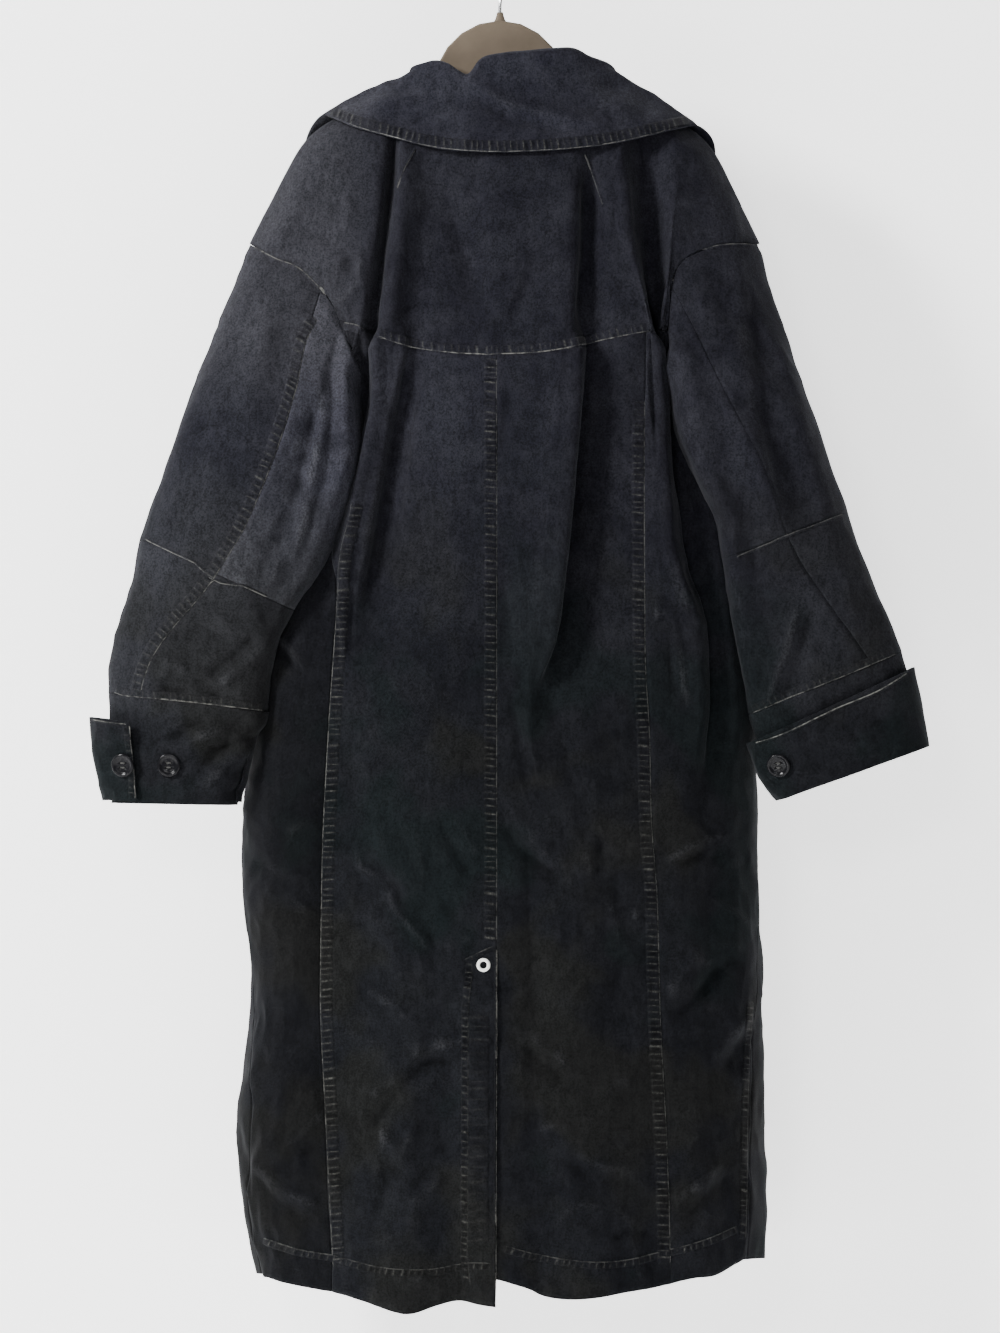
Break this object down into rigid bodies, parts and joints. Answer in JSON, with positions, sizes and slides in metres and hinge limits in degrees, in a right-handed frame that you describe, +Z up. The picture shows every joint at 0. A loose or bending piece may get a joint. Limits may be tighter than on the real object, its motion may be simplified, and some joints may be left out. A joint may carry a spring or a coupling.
{
  "type": "duster coat on hanger",
  "caption": "Long washed cotton duster coat with a wide collar, drop shoulders, turned-back cuffs and a back vent, hung on a flat moulded hanger with a wire hook.",
  "frame": {"origin": "inside top of the hanger's hook, where it rests on a rod that runs along Y", "axes": "+Z up, the back of the coat faces -Y and its front faces +Y, +X is the wearer's right-hand side"},
  "size_m": [0.8047, 0.2131, 1.3097],
  "materials": {
    "cloth": "washed brushed cotton, charcoal black, with worn seam edges",
    "collar": "washed brushed cotton, two plies, with a worn edge",
    "button": "polished four-hole buttons",
    "eyelet": "pale painted ring",
    "hanger": "flocked taupe",
    "hook": "polished wire"
  },
  "bodies": {
    "root": {"back_yoke": "cloth", "side_back_left": "cloth", "back_centre_left": "cloth", "back_centre_right": "cloth", "side_back_right": "cloth", "front_left": "cloth", "front_right": "cloth", "sleeve_left_upper_outer": "cloth", "sleeve_left_upper_under": "cloth", "sleeve_left_lower_outer": "cloth", "sleeve_left_lower_under": "cloth", "cuff_band_left": "cloth", "cuff_turnback_left": "cloth", "sleeve_right_upper_outer": "cloth", "sleeve_right_upper_under": "cloth", "sleeve_right_lower_outer": "cloth", "sleeve_right_lower_under": "cloth", "cuff_band_right": "cloth", "cuff_turnback_right": "cloth", "collar": "collar", "cuff_button_left_flap": "button", "cuff_button_left_band": "button", "cuff_button_right": "button", "front_button_1": "button", "front_button_2": "button", "front_button_3": "button", "front_button_4": "button", "vent_eyelet": "eyelet", "hanger_body": "hanger", "hanger_hook": "hook"}
  },
  "joints": []
}
